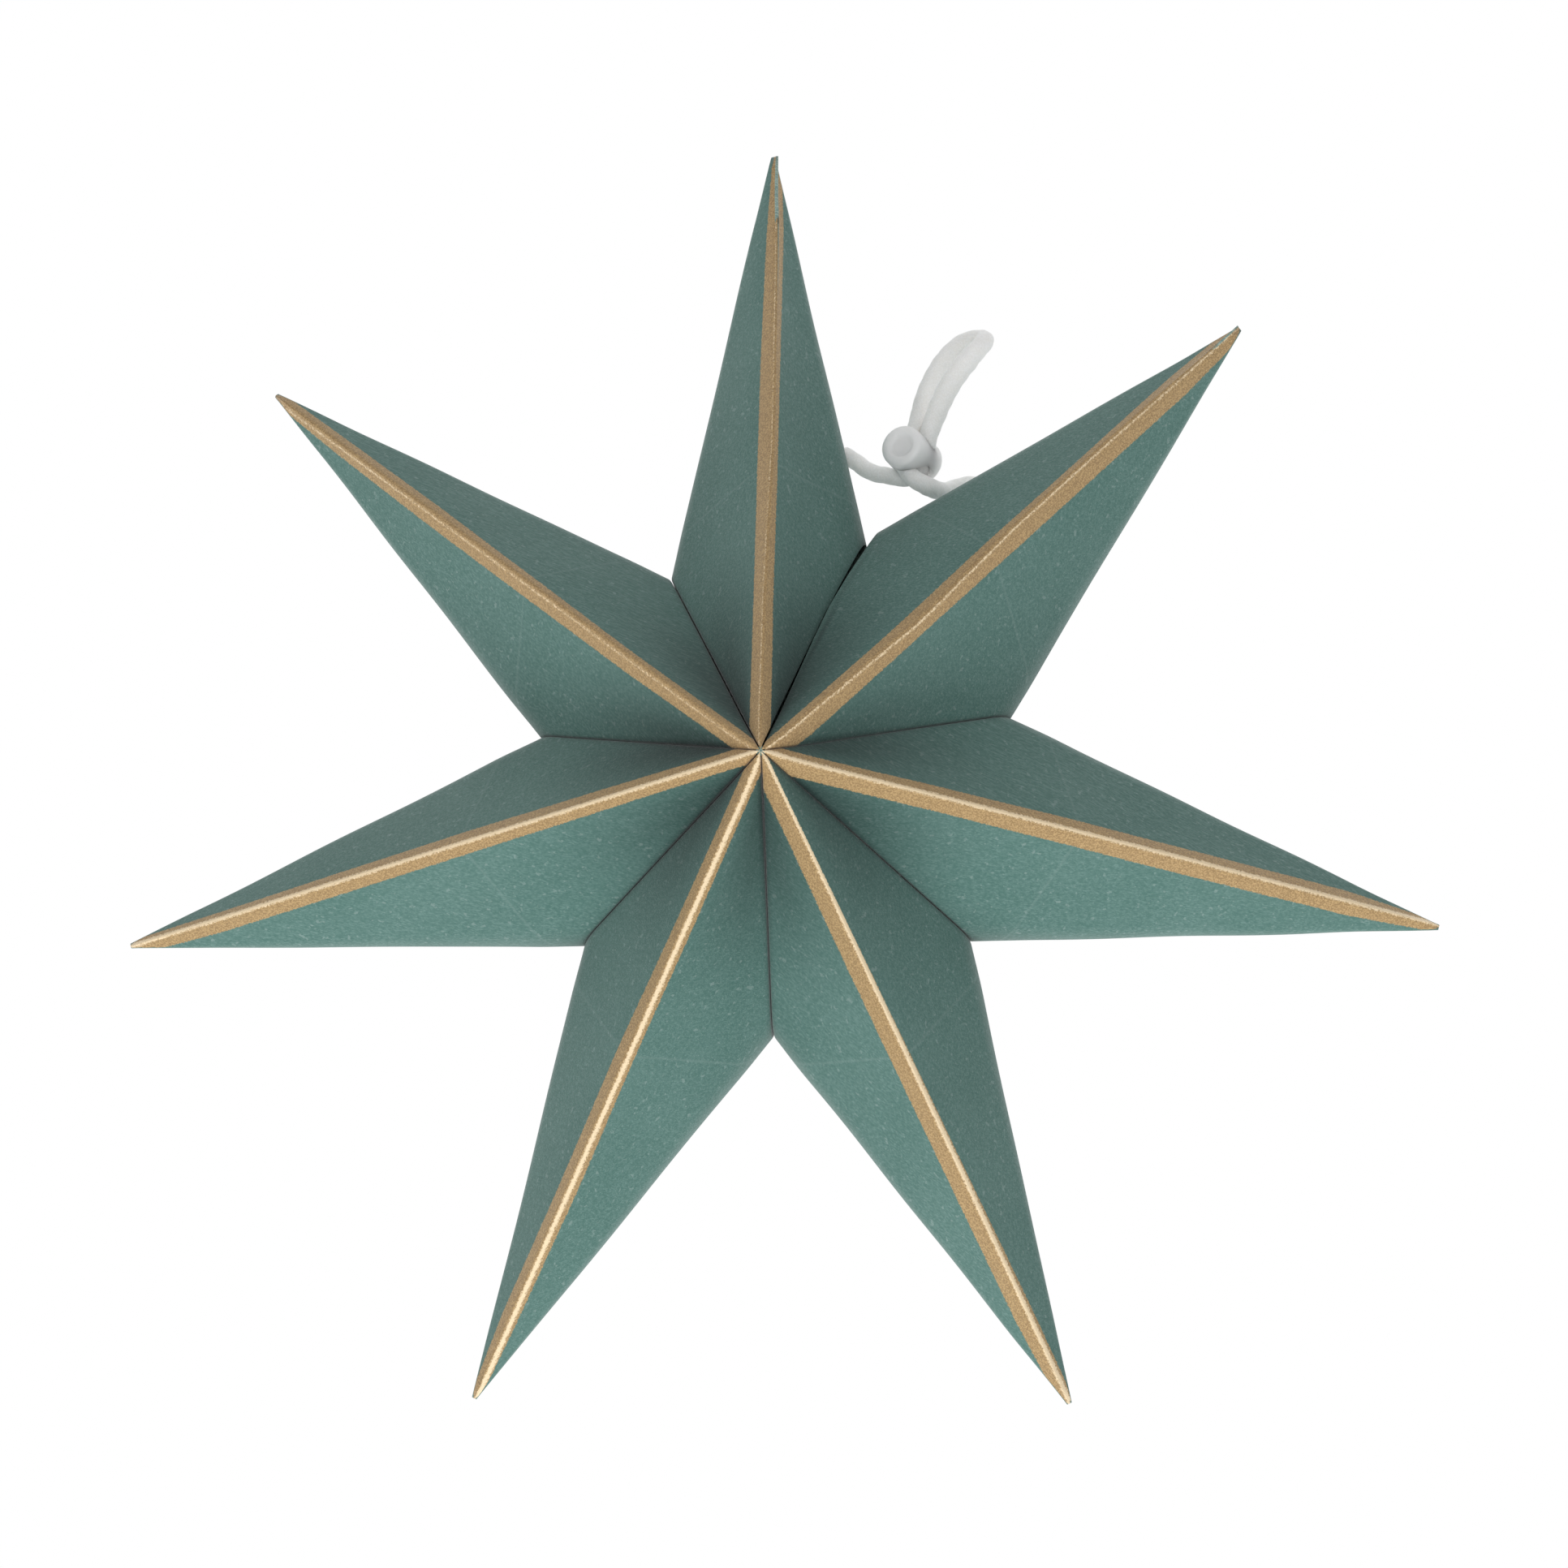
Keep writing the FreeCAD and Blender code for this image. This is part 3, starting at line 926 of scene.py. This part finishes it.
class Sheet(Nodes):
    """A material's node tree, with its shader."""

    def __init__(self, name: str) -> None:
        """Starts a material with a plain shader."""
        self.material = bpy.data.materials.new(name)
        self.material.use_nodes = True
        tree = self.material.node_tree
        super().__init__(tree, tree.nodes.new("ShaderNodeTexCoord").outputs["Object"])
        self.shader = tree.nodes["Principled BSDF"]

    def finish(self, **values: Value | tuple) -> Material:
        """Sets the shader's sockets, named with underscores for spaces."""
        self.fill(self.shader, **values)
        return self.material

    def attribute(self, name: str) -> NodeSocket:
        """Reads a number that the mesh holds for each vertex."""
        node = self.add("ShaderNodeAttribute")
        node.attribute_name = name
        return node.outputs["Fac"]

    def bump(self, height: NodeSocket, distance: float,
             strength: float) -> NodeSocket:
        """A normal tilted by a height of so many metres."""
        return self.add("ShaderNodeBump", Distance=distance, Strength=strength,
                        Height=height).outputs["Normal"]

    def group(self, tree: NodeTree) -> Node:
        """Adds a shared node group that reads the object's own coordinates."""
        node = self.add("ShaderNodeGroup")
        node.node_tree = tree
        return self.fill(node, Place=self.place)


class FibreGroup(Nodes):
    """The shared paper pattern: pressed fibres, pale flecks and soft clouds."""

    def __init__(self) -> None:
        """Makes the group's tree, with layers of stretched noise for the fibres."""
        tree = bpy.data.node_groups.new("paper_fibres", "ShaderNodeTree")
        tree.interface.new_socket("Place", in_out="INPUT", socket_type="NodeSocketVector")
        for name in ("Fibres", "Flecks", "Clouds"):
            tree.interface.new_socket(name, in_out="OUTPUT", socket_type="NodeSocketFloat")
        super().__init__(tree, tree.nodes.new("NodeGroupInput").outputs["Place"])
        leave = tree.nodes.new("NodeGroupOutput")
        fibres = self.streaks((20, 35, 10))
        for turn in ((70, -20, 65), (-40, 60, 120), (10, 80, -50)):
            fibres = self.math("MAXIMUM", fibres, self.streaks(turn))
        self.put(leave.inputs["Fibres"], fibres)
        self.put(leave.inputs["Flecks"], self.math("POWER", self.noise(1500, 3), 3.0))
        self.put(leave.inputs["Clouds"], self.noise(90, 4))

    def streaks(self, turn: Triple) -> NodeSocket:
        """One layer of fibres: noise turned by degrees and stretched along one way."""
        node = self.add("ShaderNodeMapping", Rotation=[math.radians(angle) for angle in turn],
                        Scale=(700, 5200, 5200), Vector=self.place)
        return self.noise(1.0, 1.5, vector=node.outputs["Vector"])


@dataclass(frozen=True)
class PrintedPaper:
    """Matt green craft paper with a gold band printed along its folds, painted shade in the
    valleys round the centre and a painted highlight line along each fold.
    """

    green: Triple = (0.066, 0.150, 0.130)
    pale: Triple = (0.140, 0.245, 0.222)
    gold: Triple = (0.49, 0.335, 0.16)
    dull_gold: Triple = (0.29, 0.19, 0.088)
    # The colour of the painted highlight along each fold of the gold band.
    painted_highlight: Triple = (0.90, 0.73, 0.49)
    fleck: Triple = (0.24, 0.33, 0.31)
    worn: Triple = (0.20, 0.29, 0.27)
    # The colour of the painted shade in the valleys round the star's centre.
    painted_shade_colour: Triple = (0.0, 0.004, 0.004)
    roughness: float = 0.7
    gold_roughness: float = 0.44
    painted_shade_strength: float = 0.62

    def make(self, fibres: NodeTree) -> Material:
        """Builds the finish from the shared pattern and the values that the mesh holds.

        Args:
            fibres: the shared paper pattern.

        Returns:
            The material.
        """
        sheet = Sheet("printed_paper")
        pattern = sheet.group(fibres)
        strands = sheet.span(pattern.outputs["Fibres"], 0.56, 0.74)
        flecks = sheet.span(pattern.outputs["Flecks"], 0.24, 0.34)
        clouds = sheet.span(pattern.outputs["Clouds"], 0.3, 0.7)
        grain = sheet.noise(2600, 3, 0.6)
        tone = sheet.times(strands, 0.5)
        tone = sheet.plus(tone, sheet.times(clouds, 0.16))
        tone = sheet.plus(tone, sheet.times(sheet.span(grain, 0.35, 0.7), 0.4))
        green = sheet.mix(tone, self.green, self.pale)
        green = sheet.mix(sheet.times(flecks, 0.5), green, self.fleck)
        crease = sheet.math("ABSOLUTE", sheet.attribute("crease"))
        worn = sheet.times(sheet.span(crease, 0.0, 0.28, 1.0, 0.0), 0.25)
        green = sheet.mix(worn, green, self.worn)
        # Painted shade: the green darkens towards the seams and the star's centre, by each
        # wall's own amount.
        depth = sheet.times(sheet.attribute("valley"), self.painted_shade_strength)
        green = sheet.mix(depth, green, self.painted_shade_colour)
        edge = sheet.math("SUBTRACT", sheet.noise(4600, 2, 0.6), 0.5)
        inside = sheet.plus(sheet.attribute("band"), sheet.times(edge, 0.3))
        band = sheet.span(inside, -0.04, 0.06)
        worn_gold = sheet.span(sheet.noise(5200, 3, 0.7), 0.4, 0.62)
        gold = sheet.mix(worn_gold, self.dull_gold, self.gold)
        # Painted highlight: a light line along each fold, placed and faded point by point.
        fold = sheet.plus(sheet.attribute("fold"), sheet.times(edge, 0.6))
        highlight_line = sheet.span(fold, 0.1, 0.34, 0.9, 0.0)
        gold = sheet.mix(highlight_line, gold, self.painted_highlight)
        height = sheet.plus(sheet.times(strands, 0.5),
                            sheet.times(grain, 0.6))
        return sheet.finish(
            Base_Color=sheet.mix(band, green, gold),
            Metallic=sheet.times(band, 0.06),
            Roughness=sheet.span(band, 0, 1, self.roughness, self.gold_roughness),
            Normal=sheet.bump(height, 0.00004, 0.8),
            Specular_IOR_Level=0.22,
            Sheen_Weight=0.22,
            Sheen_Roughness=0.45,
        )


@dataclass(frozen=True)
class PaperCore:
    """The unprinted inside and the cut edges of the paper, a lighter green."""

    green: Triple = (0.20, 0.31, 0.28)
    pale: Triple = (0.42, 0.52, 0.46)

    def make(self, fibres: NodeTree) -> Material:
        """Builds the finish from the shared paper pattern."""
        sheet = Sheet("paper_core")
        pattern = sheet.group(fibres)
        tone = sheet.span(pattern.outputs["Fibres"], 0.5, 0.75)
        return sheet.finish(Base_Color=sheet.mix(tone, self.green, self.pale), Roughness=0.9,
                            Normal=sheet.bump(pattern.outputs["Fibres"], 0.00005, 0.8))


@dataclass(frozen=True)
class SoftCord:
    """White twisted cotton with fine threads, painted shade in the grooves between the strands
    and a painted shadow where lengths of cord meet.
    """

    white: Triple = (0.99, 0.975, 0.95)
    # The colour of the painted shade in the grooves and of the darker random threads.
    shade: Triple = (0.82, 0.80, 0.765)
    # The colour of the painted shadow where one length of cord lies against another.
    crease: Triple = (0.42, 0.40, 0.37)

    def make(self) -> Material:
        """Builds the finish from the cord's groove and touch values, which place its painted
        shade and painted shadow.
        """
        sheet = Sheet("soft_cord")
        groove = sheet.span(sheet.attribute("groove"), 0.72, 1.0)
        thread = sheet.noise(5200, 3, 0.6)
        # Painted shade in the grooves between the strands, together with random darker threads.
        tone = sheet.math("MAXIMUM", sheet.times(groove, 0.4),
                          sheet.times(sheet.span(thread, 0.4, 0.62, 1, 0), 0.45))
        cotton = sheet.mix(tone, self.white, self.shade)
        # Painted shadow where lengths of cord lie against each other.
        contact_shadow = sheet.times(sheet.attribute("touch"), 0.75)
        return sheet.finish(Base_Color=sheet.mix(contact_shadow, cotton, self.crease), Roughness=0.9,
                            Sheen_Weight=0.7, Sheen_Roughness=0.6, Subsurface_Weight=1.0,
                            Subsurface_Radius=(1.0, 0.97, 0.94), Subsurface_Scale=0.0018,
                            Normal=sheet.bump(thread, 0.00008, 0.7))


@dataclass(frozen=True)
class FrostedPlastic:
    """Pale, cloudy soft plastic that lets some light through."""

    clear: Triple = (0.985, 0.99, 0.98)
    cloudy: Triple = (0.95, 0.96, 0.95)

    def make(self) -> Material:
        """Builds the finish with faint clouds and a fine moulded grain."""
        sheet = Sheet("frosted_plastic")
        clouds = sheet.span(sheet.noise(420, 3), 0.35, 0.65)
        return sheet.finish(Base_Color=sheet.mix(clouds, self.clear, self.cloudy),
                            Roughness=0.36, IOR=1.4, Subsurface_Weight=1.0,
                            Subsurface_Radius=(1.0, 1.0, 0.97), Subsurface_Scale=0.0028,
                            Normal=sheet.bump(sheet.noise(5000, 2), 0.00002, 0.5))


@dataclass(frozen=True)
class Lamp:
    """A soft square lamp that looks at the star, and leaves gloss on it only if asked to."""

    name: str
    place: Triple
    size: float
    power: float
    glossy: bool = False

    def build(self) -> None:
        """Adds the lamp to the scene."""
        data = bpy.data.lights.new(self.name, "AREA")
        data.size = self.size
        data.energy = self.power
        lamp = add_object(self.name, data)
        lamp.visible_glossy = self.glossy
        away = Vector(STAR_MIDDLE) - Vector(self.place)
        lamp.matrix_world = Matrix.Translation(self.place) @ away.to_track_quat(
            "-Z", "Y").to_matrix().to_4x4()


STAR_MIDDLE = (0.0, 0.0, -0.058)
LAMPS = (
    Lamp("key_from_below", (0.17, -0.22, -0.52), 0.3, 1.95),
    Lamp("from_the_left", (-0.425, -0.33, -0.305), 0.3, 0.15),
    Lamp("front", (0.05, -0.70, -0.12), 0.12, 1.1, True),
)


@dataclass(frozen=True)
class Studio:
    """The camera, the soft lamps, the white surroundings and the pale floor.

    The fill is the strength of the surroundings' light, from straight in front of the star
    and from beside and behind it.
    """

    front_fill: float = 0.3
    side_fill: float = 0.98
    floor_drop: float = 0.75
    floor_sides: int = 96
    floor_rings: tuple[float, ...] = (0.0, 0.1, 0.2, 0.35)

    def camera(self) -> None:
        """Sets up the camera as the photograph was taken."""
        data = bpy.data.cameras.new("camera")
        data.lens = 90.5624
        data.sensor_width = 36
        data.clip_start = 0.01
        data.clip_end = 10
        camera = add_object("camera", data)
        forward = Vector((-0.134641, 0.980723, 0.141612))
        above = Vector((-0.384104, -0.183395, 0.904892))
        right = forward.cross(above).normalized()
        turn = Matrix((right, above, -forward)).transposed()
        camera.matrix_world = Matrix.Translation((0.0608288, -0.4410903, -0.1202778)) @ \
            turn.to_4x4()
        bpy.context.scene.camera = camera

    def surroundings(self) -> None:
        """Makes the world white to the camera and in reflections, and a soft fill elsewhere."""
        world = bpy.data.worlds.new("studio")
        world.use_nodes = True
        tree = world.node_tree
        nodes = Nodes(tree, tree.nodes.new("ShaderNodeTexCoord").outputs["Generated"])
        path = nodes.add("ShaderNodeLightPath")
        seen = path.outputs["Is Camera Ray"]
        for name in ("Is Glossy Ray", "Is Transmission Ray"):
            seen = nodes.math("MAXIMUM", seen, path.outputs[name])
        split = nodes.add("ShaderNodeSeparateXYZ", Vector=nodes.place)
        fill = nodes.span(split.outputs["Y"], -0.85, 0.1, self.front_fill, self.side_fill)
        level = nodes.add("ShaderNodeMix", A=fill, B=1.0, Factor=seen)
        nodes.fill(tree.nodes["Background"], Strength=level.outputs["Result"],
                   Color=(1, 1, 1, 1))
        bpy.context.scene.world = world

    def floor(self) -> None:
        """Puts a pale round floor under the hanging star, out of the camera's view."""
        ring = circle(np.array([1.0, 0.0, 0.0]), BACKWARDS, self.floor_sides)
        rings = ring * np.array(self.floor_rings)[:, None, None]
        points = rings.reshape(-1, 3) - np.array([0.0, 0.0, self.floor_drop])
        piece = make_mesh("floor", points, grid_faces(len(rings), self.floor_sides, True))
        clean_mesh(piece.data, 1e-6)
        sheet = Sheet("floor")
        grain = sheet.noise(60, 3)
        piece.data.materials.append(sheet.finish(
            Base_Color=sheet.mix(grain, (0.80, 0.80, 0.79), (0.84, 0.84, 0.83)),
            Roughness=0.8))

    def build(self) -> None:
        """Sets up everything round the star."""
        self.camera()
        self.surroundings()
        for lamp in LAMPS:
            lamp.build()
        self.floor()
        bpy.context.scene.view_settings.view_transform = "Standard"


CORD_ROUTE = (
    (-9.637, 2.281, 40.067), (-8.0, 3.0, 40.05), (-6.6, 3.12, 39.62), (-5.08, 2.58, 39.38),
    (-3.49, 1.75, 39.59), (-1.77, 1.15, 39.71), (-0.52, 0.92, 40.38), (-0.02, 0.5, 41.63),
    (-0.3, -0.19, 43.51), (-0.72, -0.52, 45.23), (-0.84, -0.89, 46.96), (-0.83, -1.58, 49.59),
    (-0.55, -2.03, 52.29), (0.31, -2.28, 55.52), (1.0, -1.5, 57.75), (0.72, -0.25, 58.5),
    (-0.42, 1.0, 58.55), (-1.75, 1.75, 57.85), (-2.75, 1.72, 55.97), (-3.28, 1.24, 53.16),
    (-3.32, 0.82, 49.72), (-2.64, 0.63, 46.04), (-2.37, 0.31, 43.53), (-2.21, -0.52, 41.55),
    (-1.38, -1.18, 40.23), (-0.02, -1.25, 39.65), (1.27, -0.47, 39.68), (2.35, 1.56, 40.09),
    (3.14, 3.41, 40.74), (3.72, 4.65, 41.75), (4.62, 4.98, 42.6), (5.82, 4.5, 43.2),
    (7.278, 2.997, 42.763),
)


def paper_points() -> list[PaperPoint]:
    """The seven points, clockwise from the one right of the loop, with what each one shows."""
    return [
        PaperPoint(
            1, 21.1, Seam(-2.4, 1, 32.5, False, 0.045, 1.27), Seam(49.0, -1, painted_shade_scale=0.65),
            ((-0.44, 2.03), (-0.50, 1.97), (-0.91, 1.74), (-1.05, 1.53), (-1.36, 1.32),
             (-1.07, 0.82)),
            ((0.08, 0.36), (0.3, 0.82), (0.5, -0.09), (0.7, -0.33), (0.97, -0.38)),
            (0.22, 0.17),
            CordHole((7.827, 3.254, 43.216), (-0.5898, 0.6479, 0.4820))),
        PaperPoint(
            2, 78.6, Seam(49.0, 1, painted_shade_scale=1.12), Seam(104.4, -1, painted_shade_scale=1.17),
            ((-0.92, 1.63), (-1.32, 1.42), (-1.56, 1.35), (-1.63, 1.25), (-1.64, 1.11),
             (-0.85, 0.57)),
            ((0.08, 0.18), (0.3, 0.0), (0.6, -0.18), (0.97, -0.23)), (-0.14, -0.02)),
        PaperPoint(
            3, 131.1, Seam(104.4, 1, painted_shade_scale=0.8), Seam(157.1, -1),
            ((-0.36, 1.72), (-0.49, 1.64), (-0.59, 1.61), (-0.63, 1.57), (-0.73, 1.49),
             (-0.64, 1.01)),
            ((0.08, -0.09), (0.6, 0.0), (0.97, 0.09)), (-0.2, -0.04)),
        PaperPoint(
            4, 182.7, Seam(157.1, 1), Seam(207.9, -1, painted_shade_scale=1.1),
            ((-0.91, 0.97), (-0.99, 1.03), (-0.92, 1.32), (-1.08, 1.11), (-0.89, 1.12),
             (-0.62, 0.62)),
            ((0.08, -0.13), (0.97, -0.13)), (-0.22, 0.0)),
        PaperPoint(
            5, 233.5, Seam(207.9, 1, painted_shade_scale=1.05), Seam(260.0, -1, painted_shade_scale=1.35),
            ((-0.90, 1.19), (-1.02, 1.39), (-1.17, 1.35), (-1.30, 1.12), (-1.35, 0.82),
             (-1.06, 0.64)),
            ((0.08, 0.0), (0.3, -0.05), (0.97, -0.14)), (0.1, -0.02)),
        PaperPoint(
            6, 285.6, Seam(260.0, 1, painted_shade_scale=1.1), Seam(310.2, -1, painted_shade_scale=1.25),
            ((-1.49, 0.56), (-1.71, 0.42), (-1.65, 0.64), (-1.56, 0.81), (-1.21, 0.77),
             (-0.84, 0.67)),
            ((0.08, -0.18), (0.97, -0.18)), (-0.4, 0.2)),
        PaperPoint(
            7, 335.9, Seam(310.2, 1, painted_shade_scale=1.27), Seam(-3.9, -1, 30.6, False, 0.02, 1.4),
            ((-1.37, 0.97), (-1.24, 0.98), (-1.16, 1.21), (-1.03, 1.27), (-0.63, 1.34),
             (-0.11, 1.0)),
            ((0.05, -0.09), (0.25, 0.09), (0.5, 0.73), (0.8, 0.75), (0.97, 0.57)),
            (-0.2, 0.24),
            CordHole((-10.007, 2.192, 40.697), (0.7625, 0.3002, 0.5731))),
    ]


def main() -> None:
    """Sets up the studio, builds the cord, the stopper and the star."""
    logging.basicConfig(level=logging.INFO, format="%(name)s %(message)s")
    Studio().build()
    cotton = SoftCord().make()
    loop = HangingLoop(CORD_ROUTE)
    cord, route = loop.build()
    loop.dress(cord, route, cotton)
    LOG.info("%s has %d faces", cord.name, len(cord.data.polygons))
    stopper = Stopper()
    plastic = stopper.build()
    stopper.dress(plastic, FrostedPlastic().make())
    LOG.info("%s has %d faces", plastic.name, len(plastic.data.polygons))
    fibres = FibreGroup().tree
    face, core = PrintedPaper().make(fibres), PaperCore().make(fibres)
    for point in paper_points():
        piece = point.build()
        point.dress(piece, face, core)
        LOG.info("%s has %d faces", piece.name, len(piece.data.polygons))
    for name in ("knot_in_point_1", "knot_in_point_7"):
        materials = bpy.data.objects[name].data.materials
        materials.clear()
        materials.append(cotton)


if __name__ == "__main__":
    main()
